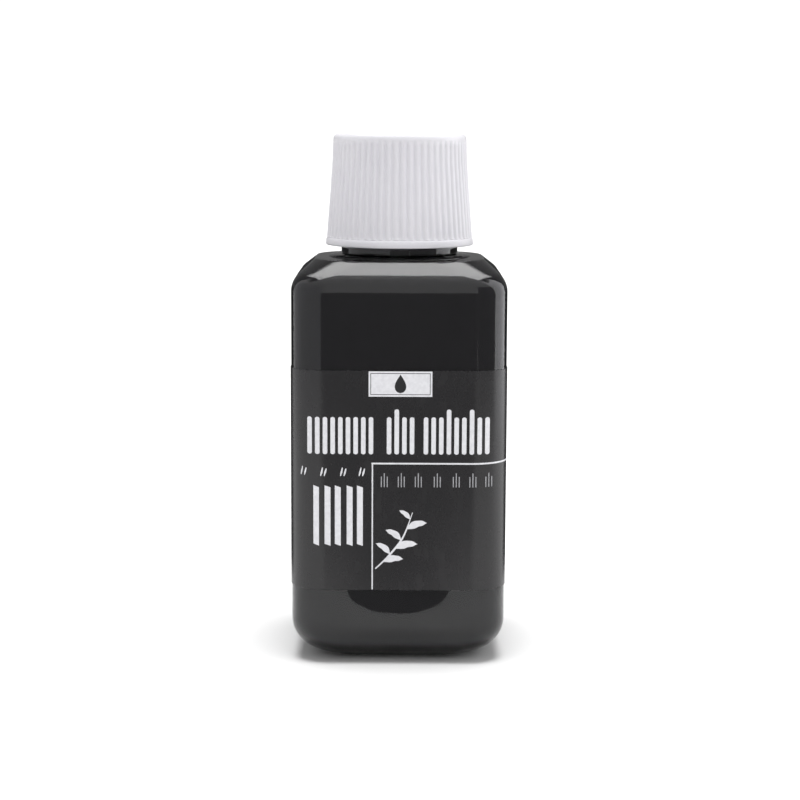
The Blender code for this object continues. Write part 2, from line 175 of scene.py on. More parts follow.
def newGroup(name, inputs, outputs):
    group = bpy.data.node_groups.new(name, "ShaderNodeTree")
    for label, kind, value in inputs:
        socket = group.interface.new_socket(label, in_out="INPUT", socket_type=kind)
        socket.default_value = value
    for label, kind in outputs:
        group.interface.new_socket(label, in_out="OUTPUT", socket_type=kind)
    return group, group.nodes.new("NodeGroupInput"), group.nodes.new("NodeGroupOutput")


def feed(tree, value, socket):
    if hasattr(value, "is_output"):
        tree.links.new(value, socket)
    else:
        socket.default_value = value


def noiseNode(tree, vector, scale, detail=3.0, roughness=0.5):
    node = tree.nodes.new("ShaderNodeTexNoise")
    node.inputs["Detail"].default_value = detail
    node.inputs["Roughness"].default_value = roughness
    tree.links.new(vector, node.inputs["Vector"])
    feed(tree, scale, node.inputs["Scale"])
    return node.outputs["Fac"]


def mathNode(tree, operation, first, second=0.0, third=None, clamp=False):
    node = tree.nodes.new("ShaderNodeMath")
    node.operation = operation
    node.use_clamp = clamp
    for place, value in enumerate((first, second, third)):
        if value is not None:
            feed(tree, value, node.inputs[place])
    return node.outputs[0]


def rangeNode(tree, value, fromLow, fromHigh, toLow=0.0, toHigh=1.0, smooth=True):
    node = tree.nodes.new("ShaderNodeMapRange")
    node.interpolation_type = "SMOOTHSTEP" if smooth else "LINEAR"
    tree.links.new(value, node.inputs["Value"])
    ends = {"From Min": fromLow, "From Max": fromHigh, "To Min": toLow, "To Max": toHigh}
    for label, number in ends.items():
        feed(tree, number, node.inputs[label])
    return node.outputs["Result"]


def mixColour(tree, factor, first, second, blendType="MIX"):
    node = tree.nodes.new("ShaderNodeMix")
    node.data_type = "RGBA"
    node.blend_type = blendType
    for socket, value in ((node.inputs[0], factor), (node.inputs[6], first), (node.inputs[7], second)):
        if hasattr(value, "is_output"):
            tree.links.new(value, socket)
        elif isinstance(value, (tuple, list)):
            socket.default_value = (*value[:3], 1.0)
        else:
            socket.default_value = value
    return node.outputs[2]


def buildMouldWaviness():
    # slow swells of a moulded wall, with a much finer tool-surface texture on top
    group, start, end = newGroup(
        "mouldWaviness",
        [("Vector", "NodeSocketVector", (0, 0, 0)), ("Swell Scale", "NodeSocketFloat", 60.0),
         ("Grain Scale", "NodeSocketFloat", 3000.0), ("Grain Share", "NodeSocketFloat", 0.1)],
        [("Height", "NodeSocketFloat")],
    )
    swell = noiseNode(group, start.outputs["Vector"], start.outputs["Swell Scale"], 1.0, 0.4)
    grain = noiseNode(group, start.outputs["Vector"], start.outputs["Grain Scale"], 2.0, 0.6)
    grainPart = mathNode(group, "MULTIPLY", grain, start.outputs["Grain Share"])
    group.links.new(mathNode(group, "ADD", swell, grainPart), end.inputs["Height"])
    return group


def buildColourDrift():
    # very slight uneven tint, as in real pigmented plastic or print
    group, start, end = newGroup(
        "colourDrift",
        [("Vector", "NodeSocketVector", (0, 0, 0)), ("Colour", "NodeSocketColor", (1, 1, 1, 1)),
         ("Second Colour", "NodeSocketColor", (1, 1, 1, 1)), ("Scale", "NodeSocketFloat", 80.0)],
        [("Colour", "NodeSocketColor")],
    )
    patch = noiseNode(group, start.outputs["Vector"], start.outputs["Scale"], 3.0, 0.55)
    share = rangeNode(group, patch, 0.3, 0.7)
    out = mixColour(group, share, start.outputs["Colour"], start.outputs["Second Colour"])
    group.links.new(out, end.inputs["Colour"])
    return group


def buildDust():
    # sparse fine specks, more of them on faces that look up
    group, start, end = newGroup(
        "fineDust",
        [("Vector", "NodeSocketVector", (0, 0, 0)), ("Scale", "NodeSocketFloat", 2200.0),
         ("Amount", "NodeSocketFloat", 0.3)],
        [("Mask", "NodeSocketFloat")],
    )
    speck = noiseNode(group, start.outputs["Vector"], start.outputs["Scale"], 2.0, 0.5)
    patches = noiseNode(group, start.outputs["Vector"], 130.0, 2.0, 0.5)
    geometry = group.nodes.new("ShaderNodeNewGeometry")
    parts = group.nodes.new("ShaderNodeSeparateXYZ")
    group.links.new(geometry.outputs["Normal"], parts.inputs[0])
    upward = rangeNode(group, parts.outputs["Z"], -0.4, 1.0, 0.3, 1.0)
    specks = rangeNode(group, speck, 0.66, 0.74)
    where = rangeNode(group, patches, 0.4, 0.65)
    both = mathNode(group, "MULTIPLY", specks, where)
    leaning = mathNode(group, "MULTIPLY", both, upward)
    group.links.new(mathNode(group, "MULTIPLY", leaning, start.outputs["Amount"]), end.inputs["Mask"])
    return group


def buildHandling():
    # faint rub marks from handling, as stretched streaks
    group, start, end = newGroup(
        "handlingRub",
        [("Vector", "NodeSocketVector", (0, 0, 0)), ("Scale", "NodeSocketFloat", 400.0)],
        [("Mask", "NodeSocketFloat")],
    )
    mapping = group.nodes.new("ShaderNodeMapping")
    mapping.inputs["Rotation"].default_value = (0.3, 0.2, 0.9)
    mapping.inputs["Scale"].default_value = (1.0, 0.12, 0.5)
    group.links.new(start.outputs["Vector"], mapping.inputs["Vector"])
    streak = noiseNode(group, mapping.outputs["Vector"], start.outputs["Scale"], 4.0, 0.65)
    patches = noiseNode(group, start.outputs["Vector"], 45.0, 2.0, 0.5)
    fine = rangeNode(group, streak, 0.5, 0.72)
    broad = rangeNode(group, patches, 0.35, 0.7)
    group.links.new(mathNode(group, "MULTIPLY", fine, broad), end.inputs["Mask"])
    return group


mouldWaviness = buildMouldWaviness()
colourDrift = buildColourDrift()
fineDust = buildDust()
handlingRub = buildHandling()


def useGroup(tree, group, vector, **values):
    node = tree.nodes.new("ShaderNodeGroup")
    node.node_tree = group
    tree.links.new(vector, node.inputs["Vector"])
    for label, value in values.items():
        socket = node.inputs[label.replace("_", " ")]
        socket.default_value = (*value, 1.0) if isinstance(value, tuple) else value
    return node.outputs[0]


def finishMaterial(name, facts):
    # one moulded, printed or liquid finish: tint, roughness and relief all vary over the surface
    material = bpy.data.materials.new(name)
    material.use_nodes = True
    tree = material.node_tree
    shader = tree.nodes["Principled BSDF"]
    for label, value in facts.get("fixed", {}).items():
        shader.inputs[label].default_value = value
    where = tree.nodes.new("ShaderNodeTexCoord").outputs["Object"]
    tint = useGroup(tree, colourDrift, where, Colour=facts["colour"], Second_Colour=facts["secondColour"],
                    Scale=facts.get("tintScale", 80.0))
    dust = useGroup(tree, fineDust, where, Scale=facts.get("dustScale", 2200.0),
                    Amount=facts.get("dust", 0.2))
    tint = mixColour(tree, dust, tint, facts.get("dustColour", (0.5, 0.49, 0.47)))
    tree.links.new(tint, shader.inputs["Base Color"])
    rub = useGroup(tree, handlingRub, where, Scale=facts.get("rubScale", 400.0))
    rough = mathNode(tree, "MULTIPLY_ADD", rub, facts.get("rub", 0.1), facts["roughness"])
    rough = mathNode(tree, "MULTIPLY_ADD", dust, 0.4, rough, clamp=True)
    tree.links.new(rough, shader.inputs["Roughness"])
    relief = useGroup(tree, mouldWaviness, where, Swell_Scale=facts.get("swellScale", 60.0),
                      Grain_Scale=facts.get("grainScale", 3000.0), Grain_Share=facts.get("grainShare", 0.1))
    bump = tree.nodes.new("ShaderNodeBump")
    bump.inputs["Strength"].default_value = 1.0
    bump.inputs["Distance"].default_value = facts.get("reliefDepth", 0.02) * mm
    tree.links.new(relief, bump.inputs["Height"])
    tree.links.new(bump.outputs["Normal"], shader.inputs["Normal"])
    return material


finishes = {
    "clearPlastic": {
        "colour": (0.95, 0.96, 0.97), "secondColour": (0.91, 0.92, 0.94), "dust": 0.015,
        "roughness": 0.025, "rub": 0.02, "swellScale": 55.0, "grainShare": 0.01, "reliefDepth": 0.05,
        "fixed": {"Transmission Weight": 1.0, "IOR": 1.5},
    },
    "blackInk": {
        "colour": (0.0048, 0.0042, 0.0056), "secondColour": (0.0058, 0.0051, 0.0066), "dust": 0.0,
        "roughness": 0.3, "rub": 0.0, "swellScale": 80.0, "grainShare": 0.0, "reliefDepth": 0.01,
        "fixed": {"Specular IOR Level": 0.05, "IOR": 1.34},
    },
    "labelFilm": {
        "colour": (0.0095, 0.0088, 0.0098), "secondColour": (0.0115, 0.0105, 0.0118), "dust": 0.06,
        "roughness": 0.27, "rub": 0.1, "swellScale": 70.0, "grainScale": 5200.0, "grainShare": 0.05,
        "reliefDepth": 0.03, "fixed": {"IOR": 1.5},
    },
    "printWhite": {
        "colour": (0.8, 0.8, 0.83), "secondColour": (0.72, 0.72, 0.75), "dust": 0.05, "tintScale": 900.0,
        "roughness": 0.38, "rub": 0.1, "swellScale": 200.0, "grainScale": 6000.0, "grainShare": 0.4,
        "reliefDepth": 0.008,
    },
    "printGrey": {
        "colour": (0.42, 0.42, 0.44), "secondColour": (0.34, 0.34, 0.36), "dust": 0.05, "tintScale": 900.0,
        "roughness": 0.4, "rub": 0.1, "swellScale": 200.0, "grainScale": 6000.0, "grainShare": 0.4,
        "reliefDepth": 0.008,
    },
    "printBlack": {
        "colour": (0.008, 0.008, 0.009), "secondColour": (0.012, 0.012, 0.013), "dust": 0.03,
        "roughness": 0.35, "rub": 0.1, "swellScale": 200.0, "grainScale": 6000.0, "grainShare": 0.3,
        "reliefDepth": 0.008,
    },
    "shellPlastic": {
        "colour": (0.72, 0.71, 0.745), "secondColour": (0.70, 0.69, 0.73), "dust": 0.05,
        "roughness": 0.42, "rub": 0.1, "swellScale": 90.0, "grainScale": 4200.0, "grainShare": 0.12,
        "reliefDepth": 0.03,
        "fixed": {"Subsurface Weight": 0.15, "Subsurface Radius": (1.0, 1.0, 1.0),
                  "Subsurface Scale": 0.0006},
    },
    "innerCapPlastic": {
        "colour": (0.70, 0.70, 0.70), "secondColour": (0.66, 0.66, 0.67), "dust": 0.08,
        "roughness": 0.38, "rub": 0.12, "swellScale": 120.0, "grainScale": 3800.0, "grainShare": 0.15,
        "reliefDepth": 0.03,
        "fixed": {"Subsurface Weight": 0.2, "Subsurface Radius": (1.0, 1.0, 1.0),
                  "Subsurface Scale": 0.001},
    },
    "insertPlastic": {
        "colour": (0.76, 0.76, 0.73), "secondColour": (0.70, 0.71, 0.68), "dust": 0.05,
        "roughness": 0.36, "rub": 0.1, "swellScale": 140.0, "grainScale": 3800.0, "grainShare": 0.12,
        "reliefDepth": 0.03,
        "fixed": {"Subsurface Weight": 0.3, "Subsurface Radius": (1.0, 1.0, 1.0),
                  "Subsurface Scale": 0.0012},
    },
    "linerFoam": {
        "colour": (0.82, 0.82, 0.79), "secondColour": (0.76, 0.76, 0.73), "dust": 0.1, "tintScale": 500.0,
        "roughness": 0.8, "rub": 0.05, "swellScale": 900.0, "grainScale": 7000.0, "grainShare": 0.8,
        "reliefDepth": 0.06,
    },
}
made = {name: finishMaterial(name, facts) for name, facts in finishes.items()}
print("ink bottle: finishes mixed")


# bottle

bottleSizes = {
    "halfWidth": 27.5 * mm,
    "cornerRadius": 9.0 * mm,
    "endCornerRadius": 10.6 * mm,
    "shoulderRadius": 6.2 * mm,
    "bevelAngle": math.radians(50),
    "bevelRun": 3.6 * mm,
    "browCornerRadius": 14.0 * mm,
    "browRounding": 1.5,
    "domeFoot": 18.6 * mm,
    "heelRadius": 10.8 * mm,
    "wall": 1.2 * mm,
    "shoulderHeight": 103.6 * mm,
    "domeRise": 0.7 * mm,
    "baseRise": 2.4 * mm,
    "baseCentre": 4.0 * mm,
    "baseSlope": 2.4 * mm,
    "footLand": 2.6 * mm,
    "ringRadius": 15.2 * mm,
    "ringHeight": 3.0 * mm,
    "ringEdge": 0.5 * mm,
    "neckRoot": 12.6 * mm,
    "neckBore": 10.9 * mm,
    "neckFlare": 1.0 * mm,
    "lipEdge": 0.4 * mm,
    "lipHeight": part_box("bottle")[1][2],
    "cornerSteps": 24,
    "arcSteps": 18,
    "inkClimb": 0.35 * mm,
    "seamWidth": 0.22 * mm,
    "seamHeight": 0.05 * mm,
}
thread = {
    "pitch": 4.2 * mm,
    "depth": 1.1 * mm,
    "rootWidth": 2.1 * mm,
    "tipWidth": 1.0 * mm,
    "turns": 1.6,
    "drop": 2.2 * mm,
    "capTurns": 1.4,
    "runOut": math.radians(35),
}
bevelRise = bottleSizes["bevelRun"] / math.tan(bottleSizes["bevelAngle"])
arcRise = bottleSizes["shoulderRadius"] * math.sin(bottleSizes["bevelAngle"])
wallTop = bottleSizes["shoulderHeight"] - bottleSizes["domeRise"] - bevelRise - arcRise
arcReach = bottleSizes["shoulderRadius"] * (1 - math.cos(bottleSizes["bevelAngle"]))
browHalf = bottleSizes["halfWidth"] - arcReach - bottleSizes["bevelRun"]


def sectionRing(half, corner, height, seam=0.0):
    # rounded square, anticlockwise from +X, with three points for the parting line on each side
    steps = bottleSizes["cornerSteps"]
    width = min(bottleSizes["seamWidth"], half * 0.1)
    ring = []
    for quarter in range(4):
        side = 1 if quarter in (0, 3) else -1
        if quarter in (0, 2):
            for share, lift in ((-1, 0.0), (0, seam), (1, 0.0)):
                out = half + lift
                if half - corner < width:
                    out = math.sqrt(half ** 2 - (share * width) ** 2) + lift
                ring.append((side * out, side * share * width, height))
        middleX = (half - corner) * side
        middleY = (half - corner) * (1 if quarter in (0, 1) else -1)
        for step in range(steps):
            angle = (quarter + (step + 0.5) / steps) * math.pi / 2
            ring.append((middleX + corner * math.cos(angle), middleY + corner * math.sin(angle), height))
    return ring


def circleRing(radius, height, seam=0.0):
    return sectionRing(radius, radius, height, seam)


def baseAndWalls(inset, seam):
    # sections from the middle of the push-up base to the end of the shoulder curve
    s = bottleSizes
    rings = []
    foot = s["halfWidth"] - s["heelRadius"]
    endCorner = s["endCornerRadius"] - inset
    straightCorner = s["cornerRadius"] - inset
    rise = s["baseRise"] + inset
    for share in (0.02, 0.35, 0.7, 1.0):
        rings.append(circleRing(s["baseCentre"] * share, rise))
    outer = foot - s["footLand"] - s["baseSlope"]
    for share in (0.35, 0.7, 0.94):
        half = mix(s["baseCentre"], outer, share)
        corner = mix(s["baseCentre"], endCorner - s["footLand"] - s["baseSlope"], share)
        rings.append(sectionRing(half, min(corner, half), rise))
    for step in range(1, 8):  # the push-up's sloping wall, rounded at both ends
        share = step / 8
        drop = (1 - math.cos(share * math.pi)) / 2
        reach = s["footLand"] + s["baseSlope"] * (1 - share)
        rings.append(sectionRing(foot - reach, endCorner - reach, mix(rise, inset, drop)))
    for reach in (s["footLand"] * 0.95, s["footLand"] * 0.5, 0.0):
        rings.append(sectionRing(foot - reach, endCorner - reach, inset))
    heel = s["heelRadius"] - inset
    for step in range(1, s["arcSteps"] + 1):
        angle = step / s["arcSteps"] * math.pi / 2
        out = heel * math.sin(angle)
        corner = mix(endCorner, straightCorner, math.sin(angle))
        seamHere = seam * min(1.0, step / 4)
        rings.append(sectionRing(foot + out, corner, s["heelRadius"] - heel * math.cos(angle), seamHere))
    for height in (wallTop * 0.25, wallTop * 0.5, wallTop * 0.75):
        rings.append(sectionRing(s["halfWidth"] - inset, straightCorner, height, seam))
    mitre = inset * math.tan((math.pi / 2 - s["bevelAngle"]) / 2)
    browCorner = s["browCornerRadius"] - mitre
    shoulder = s["shoulderRadius"] - inset
    whole = s["halfWidth"] - browHalf + mitre - inset
    profile = []  # how far in, and how high
    for step in range(s["arcSteps"] + 1):
        angle = step / s["arcSteps"] * s["bevelAngle"]
        profile.append((shoulder * (1 - math.cos(angle)), wallTop + shoulder * math.sin(angle)))
    turnIn, turnUp = profile[-1]
    top = s["shoulderHeight"] - s["domeRise"] - inset
    for share in (0.15, 0.35, 0.55, 0.75, 0.88, 0.95):
        profile.append((mix(turnIn, whole, share), mix(turnUp, top, share)))
    softEnd = 0.12 * mm  # the edge over the bevel is a little rounded
    profile.append((whole + softEnd, top - softEnd * 0.12))
    for number, (inward, height) in enumerate(profile):
        corner = mix(straightCorner, browCorner, min(1.0, inward / whole) ** s["browRounding"])
        seamHere = seam * max(0.0, min(1.0, (s["arcSteps"] - number) / 4))
        half = s["halfWidth"] - inset - inward
        rings.append(sectionRing(half, min(corner, half), height, seamHere))
    return rings


def threadRise(angle, height, topEnd, turns):
    # how far the thread stands out at an angle and a height, from 0 to 1
    t = thread
    best = 0.0
    for lap in range(-1, math.ceil(turns) + 2):
        along = angle + lap * 2 * math.pi
        if along < 0 or along > turns * 2 * math.pi:
            continue
        toEnd = min(along, turns * 2 * math.pi - along)
        reach = min(1.0, toEnd / t["runOut"])
        middle = topEnd - t["pitch"] * (turns - along / (2 * math.pi))
        off = abs(height - middle)
        half, tip = t["rootWidth"] / 2, t["tipWidth"] / 2
        if off >= half:
            continue
        shape = 1.0 if off <= tip else (half - off) / (half - tip)
        shape = shape * shape * (3 - 2 * shape)
        best = max(best, shape * math.sin(reach * math.pi / 2))
    return best


def makeBottle():
    s = bottleSizes
    rings = baseAndWalls(0.0, s["seamHeight"])
    start = s["shoulderHeight"] - s["domeRise"]
    middle = (browHalf + s["domeFoot"]) / 2
    rings.append(sectionRing(middle, (s["browCornerRadius"] + s["domeFoot"]) / 2, start + 0.02 * mm))
    rings.append(circleRing(s["domeFoot"], start + 0.04 * mm))
    for step in range(1, 9):  # the low round dome under the neck ring
        angle = step / 9 * math.pi / 2
        radius = mix(s["domeFoot"], s["ringRadius"] - 0.6 * mm, 1 - math.cos(angle))
        rings.append(circleRing(radius, start + 0.04 * mm + (s["domeRise"] - 0.04 * mm) * math.sin(angle)))
    ringTop = s["shoulderHeight"] + s["ringHeight"]
    r, edge = s["ringRadius"], s["ringEdge"]
    for radius, height in (
        (r - 0.6 * mm, s["shoulderHeight"] + 0.05 * mm), (r - 0.15 * mm, s["shoulderHeight"] + 0.12 * mm),
        (r, s["shoulderHeight"] + 0.4 * mm), (r, ringTop - edge), (r - edge * 0.3, ringTop - edge * 0.3),
        (r - edge, ringTop), (s["neckRoot"] + 0.5 * mm, ringTop),
        (s["neckRoot"] + 0.12 * mm, ringTop + 0.12 * mm),
        (s["neckRoot"], ringTop + 0.5 * mm),
    ):
        rings.append(circleRing(radius, height))
    top = s["lipHeight"]
    rows = 84
    bottom = ringTop + 0.6 * mm
    for row in range(rows + 1):
        height = mix(bottom, top - s["lipEdge"], row / rows)
        ring = []
        for x, y, z in circleRing(s["neckRoot"], height):
            angle = math.atan2(y, x) % (2 * math.pi)
            rise = threadRise(angle, height, top - thread["drop"], thread["turns"])
            scale = 1 + rise * thread["depth"] / s["neckRoot"]
            ring.append((x * scale, y * scale, z))
        rings.append(ring)
    edge = s["lipEdge"]
    for angle in (30, 60, 90):
        a = math.radians(angle)
        rings.append(circleRing(s["neckRoot"] - edge * (1 - math.cos(a)), top - edge * (1 - math.sin(a))))
    rings.append(circleRing(s["neckBore"] + 0.15 * mm, top))
    rings.append(circleRing(s["neckBore"], top - 0.15 * mm))
    rings.append(circleRing(s["neckBore"], s["shoulderHeight"] - s["wall"] + s["neckFlare"]))
    rings += list(reversed(insideSkin(s["wall"])))
    points, faces = skin(rings)
    bottle = meshObject("clear_bottle", points, faces)
    smoothShading(bottle, 40)
    settle(bottle, "bottle_body", made["clearPlastic"], "bottle")


def insideSkin(inset):
    # the inner wall up to where the neck's bore begins
    s = bottleSizes
    rings = baseAndWalls(inset, 0.0)
    mitre = inset * math.tan((math.pi / 2 - s["bevelAngle"]) / 2)
    brow = browHalf - mitre
    neck = s["neckBore"] + s["neckFlare"] + s["wall"] - inset
    for share in (0.33, 0.66):
        half = mix(brow, neck, share)
        corner = mix(s["browCornerRadius"] - mitre, neck, share)
        height = s["shoulderHeight"] - inset - s["domeRise"] * (1 - share) ** 2
        rings.append(sectionRing(half, min(corner, half), height))
    rings.append(circleRing(neck, s["shoulderHeight"] - inset))
    return rings


def makeInk():
    # the ink sits a hair inside the wall's inner surface, so no film of air shows between them
    s = bottleSizes
    overlap = 0.06 * mm
    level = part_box("ink")[1][2]
    climb = s["inkClimb"]
    below, above = [], None
    rings = insideSkin(s["wall"] - overlap)
    bore = s["neckBore"] + overlap
    for height in (s["shoulderHeight"] - s["wall"] + s["neckFlare"], s["lipHeight"]):
        rings.append(circleRing(bore, height))
    for ring in rings:
        if ring[0][2] < level + climb:
            below.append(ring)
        elif above is None:
            above = ring
    share = (level + climb - below[-1][0][2]) / (above[0][2] - below[-1][0][2])
    edge = [tuple(mix(a, b, share) for a, b in zip(low, high)) for low, high in zip(below[-1], above)]
    rings = below + [edge]
    for inward in (0.01, 0.03, 0.06, 0.1, 0.16, 0.3, 0.6, 0.95):  # the liquid climbs a little at the wall
        shrink = 1 - inward
        height = level + climb * math.exp(-inward / 0.07)
        rings.append([(x * shrink, y * shrink, height) for x, y, z in edge])
    points, faces = skin(rings)
    ink = meshObject("ink_filling", points, faces)
    smoothShading(ink, 40)
    settle(ink, "bottle_body", made["blackInk"], "ink")


makeBottle()
makeInk()
print("ink bottle: bottle blown and filled")


# wraparound label

labelSizes = {
    "low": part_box("wrap_label")[0][2],
    "high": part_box("wrap_label")[1][2],
    "underside": 0.02 * mm,
    "film": 0.15 * mm,
    "lap": 3.5 * mm,
    "lapRamp": 2.0 * mm,
    "printLift": 0.012 * mm,
}
flatHalf = bottleSizes["halfWidth"] - bottleSizes["cornerRadius"]
arcLength = bottleSizes["cornerRadius"] * math.pi / 2


def onLabel(u, height, lift):
    # u runs round the label in metres, 0 in the middle of the front, positive to the right
    side = 1 if u >= 0 else -1
    along = abs(u)
    radius = bottleSizes["cornerRadius"] + lift
    far = flatHalf + radius
    if along <= flatHalf:
        x, y = along, -far
    elif along <= flatHalf + arcLength:
        angle = (along - flatHalf) / bottleSizes["cornerRadius"]
        x, y = flatHalf + radius * math.sin(angle), -flatHalf - radius * math.cos(angle)
    elif along <= 3 * flatHalf + arcLength:
        x, y = far, along - arcLength - 2 * flatHalf
    elif along <= 3 * flatHalf + 2 * arcLength:
        angle = (along - 3 * flatHalf - arcLength) / bottleSizes["cornerRadius"]
        x, y = flatHalf + radius * math.cos(angle), flatHalf + radius * math.sin(angle)
    else:
        x, y = flatHalf - (along - 3 * flatHalf - 2 * arcLength), far
    return (side * x, y, height)


def makeLabel():
    # one strip that starts at the back, runs round all four sides and laps over its own start
    s = labelSizes
    reach = 4 * flatHalf + 2 * arcLength
    stops = [-reach]
    u = -reach
    while u < reach - 1e-6:
        u += 0.5 * mm
        stops.append(min(u, reach))
    rows = []
    for u in [-reach - s["lap"]] + stops:
        rows.append((u, s["underside"]))
    over = s["underside"] + s["film"] + 0.02 * mm
    for step in range(0, 15):
        share = step / 14
        u = reach - s["lap"] - s["lapRamp"] * (1 - share)
        rise = share * share * (3 - 2 * share)
        rows = [row for row in rows if row[0] < reach - s["lap"] - s["lapRamp"] - 1e-6 or row[0] == u]
        rows.append((u, mix(s["underside"], over, rise)))
    rows.append((reach, over))
    rows.append((reach + s["lap"], over))
    points = []
    soft = 0.03 * mm
    for u, lift in rows:
        signed = u
        if u < -reach:
            signed = reach - (-reach - u)
        if u > reach:
            signed = -reach + (u - reach)
        top = lift + s["film"]
        for height, out in (
            (s["low"], lift), (s["low"], top - soft), (s["low"] + soft, top),
            (s["high"] - soft, top), (s["high"], top - soft), (s["high"], lift),
        ):
            points.append(onLabel(signed, height, out))
    count = 6
    faces = [tuple(range(count))]
    for row in range(len(rows) - 1):
        for i in range(count):
            j = (i + 1) % count
            a, b = row * count, (row + 1) * count
            faces.append((a + i, b + i, b + j, a + j))
    faces.append(tuple(reversed(range((len(rows) - 1) * count, len(rows) * count))))
    label = meshObject("label_film", points, faces)
    smoothShading(label, 30)
    settle(label, "bottle_body", made["labelFilm"], "wrap_label")


def ribbonFaces(count):
    # closed faces round a row of four-cornered sections
    faces = [(0, 1, 2, 3)]
    for row in range(count - 1):
        a, b = row * 4, (row + 1) * 4
        for i in range(4):
            j = (i + 1) % 4
            faces.append((a + i, b + i, b + j, a + j))
    last = (count - 1) * 4
    faces.append((last + 3, last + 2, last + 1, last))
    return faces


def printShape(columns, lift=0.0):
    # a printed patch between a low and a high edge, given as (u, low, high) columns
    base = labelSizes["underside"] + labelSizes["film"] - 0.004 * mm
    top = labelSizes["underside"] + labelSizes["film"] + labelSizes["printLift"] + lift
    points = []
    for u, low, high in columns:
        for height, out in ((low, base), (low, top), (high, top), (high, base)):
            points.append(onLabel(u, height, out))
    return points, ribbonFaces(len(columns))


def printStroke(path, lift=0.0):
    # a pen or brush stroke: (u, height, half width) along its middle line
    base = labelSizes["underside"] + labelSizes["film"] - 0.004 * mm
    top = labelSizes["underside"] + labelSizes["film"] + labelSizes["printLift"] + lift
    points = []
    for i, (u, height, half) in enumerate(path):
        before = path[max(i - 1, 0)]
        after = path[min(i + 1, len(path) - 1)]
        du, dz = after[0] - before[0], after[1] - before[1]
        size = math.hypot(du, dz) or 1.0
        nu, nz = -dz / size, du / size
        for sign, out in ((1, base), (1, top), (-1, top), (-1, base)):
            points.append(onLabel(u + sign * nu * half, height + sign * nz * half, out))
    return points, ribbonFaces(len(path))


def printedPiece(name, shapes, material):
    points, faces = [], []
    for shapePoints, shapeFaces in shapes:
        shift = len(points)
        points += shapePoints
        faces += [tuple(corner + shift for corner in face) for face in shapeFaces]
    piece = meshObject(name, points, faces)
    smoothShading(piece, 30, False)
    settle(piece, "bottle_body", made[material])
    return piece


def bar(left, right, low, high, step=0.4 * mm):
    count = max(1, math.ceil((right - left) / step))
    return [(mix(left, right, i / count), low, high) for i in range(count + 1)]


def roundedBar(left, right, low, high):
    # an upright pen bar with rounded ends
    half = (right - left) / 2
    columns = []
    for i in range(13):
        angle = math.pi * i / 12
        reach = half * math.sin(angle) * 0.8
        foot, head = low + half * 0.8 - reach, high - half * 0.8 + reach
        columns.append((left + half - half * math.cos(angle), foot, head))
    return columns


def curvePath(controls, widths, steps=26):
    # a smooth middle line through control points, with widths given as (share, half width)
    path = []
    spans = len(controls) - 1
    padded = [controls[0]] + controls + [controls[-1]]
    for i in range(steps + 1):
        t = i / steps * spans
        span = min(int(t), spans - 1)
        f = t - span
        p0, p1, p2, p3 = [Vector(p) for p in padded[span:span + 4]]
        spot = 0.5 * (2 * p1 + (p2 - p0) * f + (2 * p0 - 5 * p1 + 4 * p2 - p3) * f ** 2
                      + (3 * p1 - p0 - 3 * p2 + p3) * f ** 3)
        share = i / steps
        for (s0, w0), (s1, w1) in zip(widths, widths[1:]):
            if s0 <= share <= s1:
                blendShare = (share - s0) / (s1 - s0)
                blendShare = blendShare * blendShare * (3 - 2 * blendShare)
                width = mix(w0, w1, blendShare)
                break
        path.append((spot.x * mm, spot.y * mm, width * mm))
    return path


def fromFront(x):
    # distance round the label for a point that stands x millimetres to the right, seen from the front
    flat, radius = flatHalf / mm, bottleSizes["cornerRadius"] / mm
    if abs(x) <= flat:
        return x * mm
    share = min(1.0, (abs(x) - flat) / radius)
    return math.copysign(flat + radius * math.asin(share), x) * mm


labelPrint = {
    "plate": (-7.6, 8.4, 69.4, 76.0 - 0.2),  # left, right, low, high, all in millimetres
    "titleLow": 54.7, "titleHigh": 64.2, "titleTall": 66.2,
    "titleGroups": ((-23.0, 9), (-3.0, 4), (6.3, 9)),  # first bar, number of bars
    "titleStep": 1.93, "titleBar": 1.15,
    "rule": (-6.85, 52.35, 0.42),  # left end, height, thickness
    "uprightRule": (-6.6, 19.8, 0.34),
    "ticks": (-24.0, -19.0, -14.0, -9.3),
    "boldBars": ((-21.5, -20.1), (-18.7, -17.2), (-16.1, -14.6), (-13.1, -11.6), (-10.5, -9.0)),
    "boldLow": 31.1, "boldHigh": 46.7,
    "marks": (-3.6, 0.7, 5.0, 9.8, 14.6, 18.8, 22.8),
    "stem": ((-5.8, 25.2), (-2.2, 28.8), (1.2, 33.4), (3.6, 39.8)),
    "leaves": ((0.2, 8, 5.2), (0.34, 142, 4.6), (0.48, 12, 5.8), (0.62, 146, 4.8), (0.76, 18, 5.4),
               (0.88, 140, 3.6)),  # where on the stem, lean in degrees, length
}


